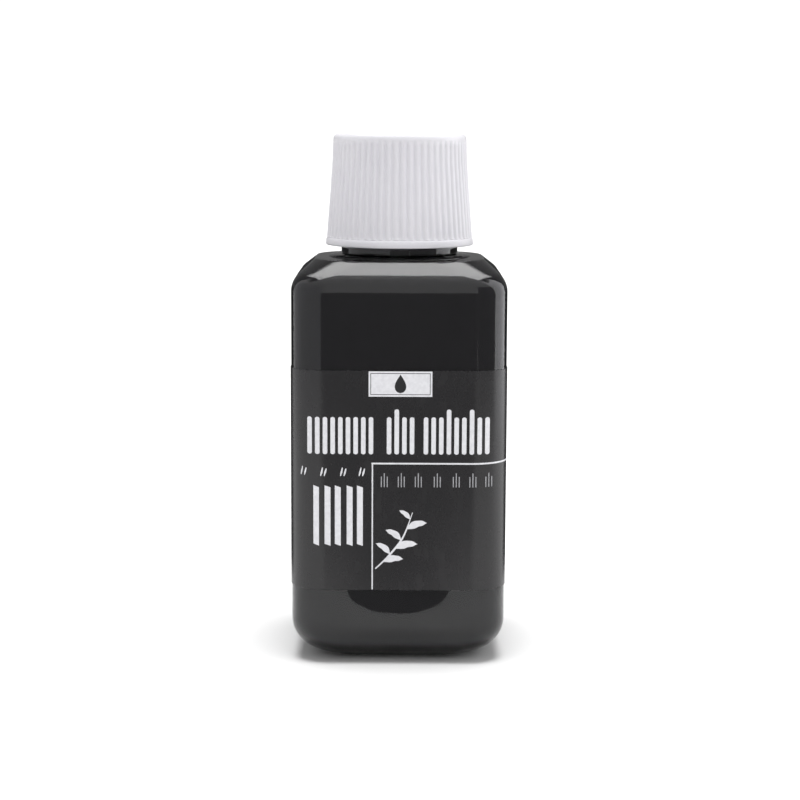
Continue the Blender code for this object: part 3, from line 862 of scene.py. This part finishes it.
def makePrint():
    p = labelPrint
    left, right, low, high = p["plate"]
    low, high = low * mm, high * mm
    printedPiece("print_plate", [printShape(bar(left * mm, right * mm, low, high))], "printWhite")
    middle = (left + right) / 2
    drop = []
    for i in range(25):  # a plain drop on the plate
        share = i / 24
        width = 1.55 * math.sin(math.pi * share) ** 0.5 * (1 - share) ** 0.55 * 1.25
        drop.append((middle * mm, low + (0.9 + 4.7 * share) * mm, max(width, 0.02) * mm))
    border = []
    inset, line = 0.45 * mm, 0.16 * mm
    l, r = left * mm + inset, right * mm - inset
    border.append(printShape(bar(l, r, low + inset, low + inset + line), 0.006 * mm))
    border.append(printShape(bar(l, r, high - inset - line, high - inset), 0.006 * mm))
    border.append(printShape(bar(l, l + line, low + inset + line, high - inset - line), 0.006 * mm))
    border.append(printShape(bar(r - line, r, low + inset + line, high - inset - line), 0.006 * mm))
    printedPiece("print_drop", [printStroke(drop, 0.006 * mm)] + border, "printBlack")

    title = []
    number = 0
    tall = (10, 16, 19)
    for first, count in p["titleGroups"]:
        for i in range(count):
            x = first + i * p["titleStep"]
            top = p["titleTall"] if number in tall else p["titleHigh"]
            ends = fromFront(x), fromFront(x + p["titleBar"])
            title.append(printShape(roundedBar(*ends, p["titleLow"] * mm, top * mm)))
            number += 1
    printedPiece("print_title_strokes", title, "printWhite")

    ruleLeft, ruleHeight, ruleThick = p["rule"]
    wrapped = flatHalf + arcLength + 16 * mm
    rule = bar(ruleLeft * mm, wrapped, (ruleHeight - ruleThick / 2) * mm, (ruleHeight + ruleThick / 2) * mm)
    x, foot, thick = p["uprightRule"]
    upright = bar((x - thick / 2) * mm, (x + thick / 2) * mm, foot * mm, (ruleHeight - ruleThick / 2) * mm)
    printedPiece("print_rules", [printShape(rule), printShape(upright)], "printWhite")

    ticks = []
    for x in p["ticks"]:
        for off, size in ((-0.45, 1.0), (0.45, 0.8)):
            u = fromFront(x + off)
            ticks.append(printStroke([(u - 0.25 * mm, 49.1 * mm, 0.10 * mm), (u, 50.0 * mm, 0.24 * mm),
                                      (u + 0.28 * mm, (50.0 + 1.3 * size) * mm, 0.12 * mm)]))
    printedPiece("print_ticks", ticks, "printWhite")

    bold = []
    for left, right in p["boldBars"]:
        columns = []
        for i in range(5):
            share = i / 4
            cut = 0.5 * share
            columns.append((mix(fromFront(left), fromFront(right), share), (p["boldLow"] + 0.5 - cut) * mm,
                            (p["boldHigh"] - cut) * mm))
        bold.append(printShape(columns))
    printedPiece("print_bold_bars", bold, "printWhite")

    marks = []
    for x in p["marks"]:
        for off in (-0.75, 0.0, 0.75):
            u = fromFront(x + off)
            tall = 3.1 if off else 4.0
            marks.append(printShape([(u - 0.12 * mm, (45.9 + 0.4) * mm, (45.9 + tall) * mm),
                                     (u + 0.12 * mm, (45.9 + 0.4) * mm, (45.9 + tall) * mm)]))
    printedPiece("print_thin_marks", marks, "printGrey")

    stem = curvePath([Vector(c) for c in p["stem"]], ((0, 0.16), (0.5, 0.26), (1, 0.1)))
    leaves = [printStroke(stem)]
    for number, (share, lean, length) in enumerate(p["leaves"]):
        foot = stem[round(share * (len(stem) - 1))]
        start = Vector((foot[0] / mm, foot[1] / mm))
        along = Vector((math.cos(math.radians(lean)), math.sin(math.radians(lean))))
        sag = Vector((-along.y, along.x)) * length * (0.1 if along.x > 0 else -0.1)
        controls = [start, start + along * length * 0.5 + sag, start + along * length]
        widths = ((0, 0.06), (0.4, length * 0.17), (0.7, length * 0.13), (1, 0.03))
        leaves.append(printStroke(curvePath(controls, widths), 0.002 * (number + 1) * mm))
    printedPiece("print_brush_leaves", leaves, "printWhite")


makeLabel()
makePrint()
print("ink bottle: label printed and wrapped")


# pour insert, liner and inner cap

closure = {
    "insertFlange": (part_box("pour_insert")[1][0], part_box("pour_insert")[1][2]),
    "plug": 10.6 * mm,
    "insertWall": 1.0 * mm,
    "flangeHeight": 0.8 * mm,
    "spoutBore": 4.0 * mm,
    "spoutDrop": 1.0 * mm,
    "ventRadius": 1.0 * mm,
    "capWall": 1.5 * mm,
    "capBore": 14.05 * mm,
    "threadTip": 12.95 * mm,
    "capPlate": (129.0 * mm, 130.4 * mm),
    "capFlangeHeight": 1.5 * mm,
    "lugs": (6.5 * mm, 12.05 * mm, 2.4 * mm, 1.2 * mm),  # inner end, outer end, width, height
    "lugCount": 6,
}


def makePourInsert():
    c = closure
    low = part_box("pour_insert")[0][2]
    rim, top = c["insertFlange"]
    wall, plug = c["insertWall"], c["plug"]
    spout = c["spoutBore"] + wall
    base = top - c["flangeHeight"]
    profile = [
        (rim, top), (rim, base), (plug, base), (plug + 0.03 * mm, mix(base, low, 0.35)),
        (plug - 0.1 * mm, low + wall * 0.7), (plug - wall * 0.5, low), (c["spoutBore"], low),
        (c["spoutBore"], top - c["spoutDrop"]), (spout - 0.35 * mm, top - c["spoutDrop"]),
        (spout, low + wall),
        (plug - wall, low + wall), (plug - wall, top),
    ]
    insert = turned("pour_insert_fine", roundCorners(profile, 0.28 * mm))
    middle = (spout + plug - wall) / 2
    vent = bmesh.new()
    bmesh.ops.create_cone(vent, cap_ends=True, segments=32, radius1=c["ventRadius"], radius2=c["ventRadius"],
                          depth=wall * 3)
    bmesh.ops.translate(vent, verts=vent.verts, vec=(0.0, middle, low + wall / 2))
    mesh = bpy.data.meshes.new("ventHole")
    vent.to_mesh(mesh)
    vent.free()
    cutOrJoin(insert, addObject("ventHole", mesh), "DIFFERENCE")
    smoothShading(insert, 38)
    settle(insert, "bottle_body", made["insertPlastic"], "pour_insert")


def makeLiner():
    low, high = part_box("cap_liner")
    radius = high[0]
    z0, z1 = low[2], high[2]
    ringIn, ringOut = 10.9 * mm, 12.5 * mm
    dent = 0.07 * mm  # the lip's mark pressed into the foam
    profile = [(0.0, z1), (radius, z1), (radius, z0), (ringOut, z0), (ringOut - 0.2 * mm, z0 + dent),
               (ringIn + 0.2 * mm, z0 + dent), (ringIn, z0), (0.0, z0)]
    liner = turned("foam_liner", roundCorners(profile, 0.12 * mm))
    smoothShading(liner, 38)
    settle(liner, "liner_body", made["linerFoam"], "cap_liner")


def lugBlocks(name, base, up, firstAngle):
    inner, outer, width, height = closure["lugs"]
    sink = 0.3 * mm
    work = bmesh.new()
    for number in range(closure["lugCount"]):
        angle = firstAngle + number * 2 * math.pi / closure["lugCount"]
        verts = bmesh.ops.create_cube(work, size=1.0)["verts"]
        bmesh.ops.scale(work, verts=verts, vec=(outer - inner, width, height + sink))
        middle = ((inner + outer) / 2, 0.0, base + up * (height - sink) / 2)
        bmesh.ops.translate(work, verts=verts, vec=middle)
        turn = Vector((math.cos(angle), math.sin(angle)))
        for vert in verts:
            x, y, z = vert.co
            vert.co = (x * turn.x - y * turn.y, x * turn.y + y * turn.x, z)
    bmesh.ops.bevel(work, geom=work.edges[:], offset=0.18 * mm, segments=2, profile=0.5, affect="EDGES")
    mesh = bpy.data.meshes.new(name)
    work.to_mesh(mesh)
    work.free()
    return addObject(name, mesh)


def makeInnerCap():
    c = closure
    low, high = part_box("inner_cap")
    flange, rim = high[0], low[2]
    plateBase, plateTop = c["capPlate"]
    skirt = c["capBore"] + c["capWall"]
    outer = roundCorners([(0.0, plateTop), (skirt, plateTop), (skirt, rim + c["capFlangeHeight"]),
                          (flange, rim + c["capFlangeHeight"]), (flange, rim), (c["capBore"], rim)],
                         0.35 * mm, 4, closed=False)
    steps = 128
    rings = []
    for r, z in outer:
        rings.append((max(r, 0.02 * mm), z))
    rows = 90
    threadTop = bottleSizes["lipHeight"] - thread["drop"] - thread["pitch"] / 2
    phase = 2 * math.pi * (thread["turns"] - thread["capTurns"])
    for row in range(rows + 1):
        rings.append((c["capBore"], mix(rim + 0.1 * mm, plateBase - 0.3 * mm, row / rows)))
    rings += [(c["capBore"] - 0.3 * mm, plateBase), (0.02 * mm, plateBase)]
    points, count = [], len(rings)
    threaded = range(len(outer), len(outer) + rows + 1)
    faces = []
    for row, (r, z) in enumerate(rings):
        for i in range(steps):
            angle = 2 * math.pi * i / steps
            reach = r
            if row in threaded:
                local = (angle - phase) % (2 * math.pi)
                rise = threadRise(local, z, threadTop, thread["capTurns"])
                reach -= rise * (c["capBore"] - c["threadTip"])
            points.append((reach * math.cos(angle), reach * math.sin(angle), z))
    for row in range(count - 1):
        for i in range(steps):
            j = (i + 1) % steps
            a, b = row * steps, (row + 1) * steps
            faces.append((a + i, a + j, b + j, b + i))
    faces.append(tuple(range(steps)))
    faces.append(tuple(reversed(range((count - 1) * steps, count * steps))))
    cap = meshObject("inner_cap_fine", points, faces)
    cutOrJoin(cap, lugBlocks("capLugs", plateTop, 1, 0.0), "UNION")
    smoothShading(cap, 38)
    settle(cap, "inner_cap_body", made["innerCapPlastic"], "inner_cap")


makePourInsert()
makeLiner()
makeInnerCap()
print("ink bottle: insert, liner and inner cap moulded")


# outer shell

shellSizes = {
    "rim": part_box("outer_shell")[0][2],
    "top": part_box("outer_shell")[1][2],
    "topRadius": 17.3 * mm,
    "waistRadius": 17.55 * mm,
    "waistDrop": 7.5 * mm,
    "rimRadius": 19.2 * mm,
    "wall": 1.4 * mm,
    "plate": 1.3 * mm,
    "edge": 1.2 * mm,
    "bandHeight": 2.0 * mm,
    "bandStep": 0.12 * mm,
    "ribs": 60,
    "ribDepth": 0.32 * mm,
    "pointsPerRib": 14,
    "grooveShare": 0.8,
    "ribFade": 1.8 * mm,
    "beadTop": 107.0 * mm,
    "beadHeight": 0.9 * mm,
    "beadRadius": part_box("inner_cap")[1][0] - 0.7 * mm,
}


def shellRadius(height):
    s = shellSizes
    waist = s["top"] - s["waistDrop"]
    soft = 1.2 * mm
    if height > waist + soft:
        return mix(s["topRadius"], s["waistRadius"], (s["top"] - height) / s["waistDrop"])
    if height < waist - soft:
        return mix(s["waistRadius"], s["rimRadius"], (waist - height) / (waist - s["rim"]))
    low, high = shellRadius(waist - soft - 1e-7), shellRadius(waist + soft + 1e-7)
    share = (height - waist + soft) / (2 * soft)
    middle = s["waistRadius"]
    return (1 - share) ** 2 * low + 2 * share * (1 - share) * middle + share ** 2 * high


def makeShell():
    s = shellSizes
    count = s["ribs"] * s["pointsPerRib"]
    bandTop = s["rim"] + s["bandHeight"]
    ribTop = s["top"] - s["edge"] - 0.25 * mm
    rimOut = shellRadius(s["rim"]) + s["bandStep"]
    inner = shellRadius(s["rim"]) - s["wall"]
    rows = [(inner + 0.3 * mm, s["rim"], 0.0)]  # radius, height, rib depth
    for angle in (0, 22, 45, 67, 90):
        a = math.radians(angle)
        edge = 0.35 * mm
        rows.append((rimOut - edge * (1 - math.sin(a)), s["rim"] + edge * (1 - math.cos(a)), 0.0))
    ledge = 0.45 * mm
    rows.append((shellRadius(bandTop - ledge) + s["bandStep"], bandTop - ledge, 0.0))
    for angle in (25, 50, 75, 90):
        a = math.radians(angle)
        out = s["bandStep"] - ledge * 0.75 * (1 - math.cos(a))
        rows.append((shellRadius(bandTop) + out, bandTop - ledge * (1 - math.sin(a)), 0.0))
    for share, depth in ((0.1, 0.55), (0.25, 0.85), (0.5, 1.0)):
        height = bandTop + share * mm
        rows.append((shellRadius(height), height, depth))
    start = bandTop + 0.6 * mm
    end = ribTop - s["ribFade"]
    for i in range(1, 22):
        height = mix(start, end, i / 21)
        rows.append((shellRadius(height), height, 1.0))
    for share in (0.25, 0.5, 0.75, 1.0):
        height = ribTop - s["ribFade"] * (1 - share)
        rows.append((shellRadius(height), height, math.cos(share * math.pi / 2) ** 1.0))
    edge = s["edge"]
    top = s["top"]
    for angle in (0, 15, 30, 45, 60, 75, 90):
        a = math.radians(angle)
        rows.append((s["topRadius"] - edge * (1 - math.cos(a)), top - edge * (1 - math.sin(a)), 0.0))
    for radius, height in ((15.6, 0.0), (15.3, -0.03), (15.0, -0.12), (14.7, -0.15), (9.0, -0.17),
                           (2.1, -0.18), (1.9, -0.2), (1.6, -0.42), (1.3, -0.45), (0.75, -0.45),
                           (0.6, -0.38), (0.5, -0.2), (0.3, -0.16), (0.05, -0.16)):
        rows.append((radius * mm, top + height * mm, 0.0))
    points = []
    for radius, height, depth in rows:
        for i in range(count):
            share = (i / s["pointsPerRib"] + 0.5) % 1.0 - 0.5
            angle = -math.pi / 2 + 2 * math.pi * i / count
            off = abs(share) / (s["grooveShare"] / 2)
            groove = 0.5 + 0.5 * math.cos(math.pi * off) if off < 1 else 0.0
            swell = 0.06 * mm * math.cos(2 * math.pi * (share - 0.5)) * depth
            reach = radius - depth * s["ribDepth"] * groove + swell - 0.06 * mm * depth
            points.append((reach * math.cos(angle), reach * math.sin(angle), height))
    underside = top - s["plate"]
    waist = top - s["waistDrop"]
    hollow = [
        (0.05 * mm, underside), (shellRadius(underside) - s["wall"] - 0.4 * mm, underside),
        (shellRadius(underside) - s["wall"], underside - 0.4 * mm), (shellRadius(waist) - s["wall"], waist),
        (shellRadius(s["beadTop"] + 0.6 * mm) - s["wall"], s["beadTop"] + 0.6 * mm),
        (shellRadius(s["beadTop"]) - s["wall"], s["beadTop"]), (s["beadRadius"] + 0.1 * mm, s["beadTop"]),
        (s["beadRadius"], s["beadTop"] - 0.1 * mm), (s["beadRadius"], s["beadTop"] - s["beadHeight"] / 2),
        (inner, s["beadTop"] - s["beadHeight"]), (inner, s["rim"] + 0.08 * mm),
        (inner + 0.08 * mm, s["rim"]),
    ]
    for radius, height in hollow:
        for i in range(count):
            angle = -math.pi / 2 + 2 * math.pi * i / count
            points.append((radius * math.cos(angle), radius * math.sin(angle), height))
    total = len(rows) + len(hollow)
    faces = []
    for row in range(total):
        if row == len(rows) - 1:
            continue
        a, b = row * count, ((row + 1) % total) * count
        for i in range(count):
            j = (i + 1) % count
            faces.append((a + i, a + j, b + j, b + i))
    faces.append(tuple(range((len(rows) - 1) * count, len(rows) * count)))
    faces.append(tuple(reversed(range(len(rows) * count, (len(rows) + 1) * count))))
    shell = meshObject("ribbed_shell", points, faces)
    cutOrJoin(shell, lugBlocks("shellLugs", underside, -1, math.pi / closure["lugCount"]), "UNION")
    smoothShading(shell, 45, False)
    settle(shell, "outer_shell_body", made["shellPlastic"], "outer_shell")


makeShell()
print("ink bottle: outer shell moulded")


# table, light and camera

studio = {
    "floorHalf": 4.0,
    "floorColour": (0.9, 0.9, 0.9),
    "floorSecondColour": (0.89, 0.89, 0.89),
    "backdrop": 1.1,
    "fill": 0.47,
    "sun": {"strength": 3.2, "spread": 34},
    "sideLight": {"size": (0.35, 0.9), "place": (0.75, -0.25, 0.45), "radiance": 1.25},
}


def makeFloor():
    half = studio["floorHalf"]
    points = [(-half, -half, 0.0), (half, -half, 0.0), (half, half, 0.0), (-half, half, 0.0)]
    floor = meshObject("studio_floor", points, [(0, 1, 2, 3)])
    material = bpy.data.materials.new("paleTable")
    material.use_nodes = True
    tree = material.node_tree
    shader = tree.nodes["Principled BSDF"]
    where = tree.nodes.new("ShaderNodeTexCoord").outputs["Object"]
    tint = useGroup(tree, colourDrift, where, Colour=studio["floorColour"],
                    Second_Colour=studio["floorSecondColour"], Scale=6.0)
    tree.links.new(tint, shader.inputs["Base Color"])
    shader.inputs["Roughness"].default_value = 0.9
    shader.inputs["Specular IOR Level"].default_value = 0.0
    floor.data.materials.append(material)


def reflectionCard(name, points, faces, brightness):
    # a flag or wall that is seen only in reflections: its glow paints a reflection on the glossy parts and
    # lights nothing
    card = meshObject(name, points, faces)
    card.visible_camera = False
    card.visible_diffuse = False
    card.visible_transmission = False
    card.visible_shadow = False
    card.visible_volume_scatter = False
    material = bpy.data.materials.new(name)
    material.use_nodes = True
    tree = material.node_tree
    tree.nodes.remove(tree.nodes["Principled BSDF"])
    glow = tree.nodes.new("ShaderNodeEmission")
    glow.inputs["Color"].default_value = (brightness, brightness, brightness * 1.03, 1.0)
    tree.links.new(glow.outputs[0], tree.nodes["Material Output"].inputs["Surface"])
    card.data.materials.append(material)


def makeFrontDarkReflection():
    # a dark card seen only in reflections, with a rounded near end: it paints a dark reflection on the
    # bottle's front below the label, while the table itself stays pale
    front = -bottleSizes["halfWidth"]
    near, straight, half = 49 * mm, 79 * mm, 15 * mm
    outline = []
    for i in range(17):
        angle = math.pi * i / 16
        outline.append((half * math.cos(angle), front - straight + (straight - near) * math.sin(angle)))
    outline += [(-21 * mm, front - 110 * mm), (-24 * mm, front - 160 * mm), (-55 * mm, front - 210 * mm),
                (-1.1, -3.0), (1.1, -3.0), (55 * mm, front - 210 * mm),
                (24 * mm, front - 160 * mm), (21 * mm, front - 110 * mm)]
    points = [(x, y, 0.4 * mm) for x, y in outline]
    reflectionCard("front_dark_reflection_card", points, [tuple(range(len(points)))], 0.32)


def makeStandingCard(name, radius, startAngle, endAngle, top, brightness):
    # an upright curved card round the table; angles run from the front, positive to the right
    points = []
    steps = 12
    for i in range(steps + 1):
        angle = math.radians(mix(startAngle, endAngle, i / steps))
        x, y = radius * math.sin(angle), -radius * math.cos(angle)
        points += [(x, y, 0.0), (x, y, top)]
    faces = [(2 * i, 2 * i + 2, 2 * i + 3, 2 * i + 1) for i in range(steps)]
    reflectionCard(name, points, faces, brightness)


# painted reflections: each card below is seen only in the bottle's gloss and lights nothing; the left wall
# and the right dark wall paint a pale and a dark reflection, the right strip a painted highlight down the
# right edge
standingCards = {  # radius, first angle, last angle, top, brightness
    "left_wall_reflection": (0.42, -18, -124, 0.42, 0.8),
    # painted shade: a dark card seen only in reflections, standing for the floor's shadow beside the bottle
    # and darkening its left edge in the gloss
    "left_rear_shade_reflection": (0.10, -114, -168, 0.10, 0.04),
    "right_dark_wall_reflection": (0.44, 20, 76, 0.40, 0.32),
    "right_strip_highlight": (0.42, 78, 126, 0.60, 2.3),
    # painted shade: a dark card seen only in reflections, standing for the floor's shadow beside the bottle
    # and darkening its right edge in the gloss
    "right_rear_shade_reflection": (0.10, 114, 168, 0.10, 0.04),
}


# painted reflections and highlights: glossy rays alone see these patches of the sky, so they light nothing
# brightness, azimuth from and to (0 is the front, + is the right), height from and to, soft edges
surroundings = [
    (1.05, -180, 180, 2, 95, 2),
    (0.95, -126, -16, -90, 60, 7),
    (2.5, 76, 127, -90, 62, 3),
]


def makeWorld():
    world = bpy.data.worlds.new("studio")
    bpy.context.scene.world = world
    world.use_nodes = True
    world.cycles.sampling_method = "NONE"
    tree = world.node_tree
    tree.nodes.clear()
    direction = tree.nodes.new("ShaderNodeTexCoord").outputs["Generated"]
    parts = tree.nodes.new("ShaderNodeSeparateXYZ")
    tree.links.new(direction, parts.inputs[0])
    x, y, z = parts.outputs
    towardFront = mathNode(tree, "MULTIPLY", y, -1.0)
    azimuth = mathNode(tree, "DEGREES", mathNode(tree, "ARCTAN2", x, towardFront))
    height = mathNode(tree, "DEGREES", mathNode(tree, "ARCSINE", z))

    def window(value, low, high, soft):
        inside = rangeNode(tree, value, low - soft, low + soft)
        return mathNode(tree, "SUBTRACT", inside, rangeNode(tree, value, high - soft, high + soft))

    level = None
    for brightness, left, right, low, high, soft in surroundings:
        across, upward = window(azimuth, left, right, soft), window(height, low, high, soft)
        mask = mathNode(tree, "MULTIPLY", across, upward)
        base = 0.3 if level is None else level
        away = mathNode(tree, "SUBTRACT", 1.0, mask)
        kept = mathNode(tree, "MULTIPLY", away, base)
        level = mathNode(tree, "MULTIPLY_ADD", mask, brightness, kept)
    # behind and overhead: a tall soft wall of light that grows towards the top; like the patches above, it
    # is a painted reflection that only glossy rays see
    lift = mathNode(tree, "MULTIPLY", mathNode(tree, "POWER", mathNode(tree, "MAXIMUM", z, 0.0), 2.0), 6.4)
    behind = rangeNode(tree, y, -0.04, 0.04)
    away = mathNode(tree, "SUBTRACT", 1.0, behind)
    sideways = mathNode(tree, "ABSOLUTE", azimuth)
    outsideStrips = rangeNode(tree, sideways, 122, 134)
    highEnough = rangeNode(tree, height, 45, 60)
    useBack = mathNode(tree, "MULTIPLY", behind, mathNode(tree, "MAXIMUM", outsideStrips, highEnough))
    acrossBox = rangeNode(tree, mathNode(tree, "ABSOLUTE", x), 0.42, 0.36)
    backLevel = mathNode(tree, "MULTIPLY", lift, rangeNode(tree, height, 36, 44))
    backLevel = mathNode(tree, "MULTIPLY", backLevel, acrossBox)
    backLevel = mathNode(tree, "ADD", backLevel, 0.17)
    kept = mathNode(tree, "MULTIPLY", mathNode(tree, "SUBTRACT", 1.0, useBack), level)
    level = mathNode(tree, "MULTIPLY_ADD", useBack, backLevel, kept)

    # glossy rays see the painted reflections built above; other rays see only the plain fill, and camera
    # rays the bright backdrop
    path = tree.nodes.new("ShaderNodeLightPath")
    glossy = path.outputs["Is Glossy Ray"]
    camera = path.outputs["Is Camera Ray"]
    plain = studio["fill"]
    strength = mathNode(tree, "MULTIPLY_ADD", glossy, mathNode(tree, "SUBTRACT", level, plain), plain)
    toCamera = mathNode(tree, "MULTIPLY", camera, studio["backdrop"] - plain)
    strength = mathNode(tree, "ADD", strength, toCamera)
    background = tree.nodes.new("ShaderNodeBackground")
    background.inputs["Color"].default_value = (1.0, 1.0, 1.0, 1.0)
    tree.links.new(strength, background.inputs["Strength"])
    output = tree.nodes.new("ShaderNodeOutputWorld")
    tree.links.new(background.outputs[0], output.inputs["Surface"])


def makeSun():
    light = bpy.data.lights.new("overhead_sun", "SUN")
    light.energy = studio["sun"]["strength"]
    light.angle = math.radians(studio["sun"]["spread"])
    lamp = addObject("overhead_sun", light)
    lamp.location = (0.0, 0.0, 1.0)
    lamp.visible_glossy = False


def softLight(name, facts, aim):
    light = bpy.data.lights.new(name, "AREA")
    light.shape = "RECTANGLE"
    light.size, light.size_y = facts["size"]
    light.energy = facts["radiance"] * math.pi * light.size * light.size_y
    lamp = addObject(name, light)
    lamp.location = facts["place"]
    lamp.rotation_euler = (Vector(aim) - Vector(facts["place"])).to_track_quat("-Z", "Y").to_euler()
    lamp.visible_glossy = False
    lamp.visible_camera = False


cameraFacts = {
    "place": (0.0, -0.5107, 0.1381),
    "pitchDown": 8.19,
    "roll": -0.24,
    "focalLength": 87.4,
    "sensor": 36.0,
}


def makeCamera():
    c = cameraFacts
    lens = bpy.data.cameras.new("studio_camera")
    lens.lens = c["focalLength"]
    lens.sensor_width = c["sensor"]
    lens.clip_start = 0.01
    camera = addObject("studio_camera", lens)
    camera.location = c["place"]
    camera.rotation_mode = "XYZ"
    camera.rotation_euler = (math.radians(90 - c["pitchDown"]), math.radians(c["roll"]), 0.0)
    bpy.context.scene.camera = camera


makeFloor()
makeFrontDarkReflection()
for cardName, cardFacts in standingCards.items():
    makeStandingCard(cardName, *cardFacts)
makeWorld()
makeSun()
softLight("side_light", studio["sideLight"], (0.0, 0.0, 0.08))
makeCamera()
bpy.context.scene.view_settings.view_transform = "Standard"
print("ink bottle: studio set")
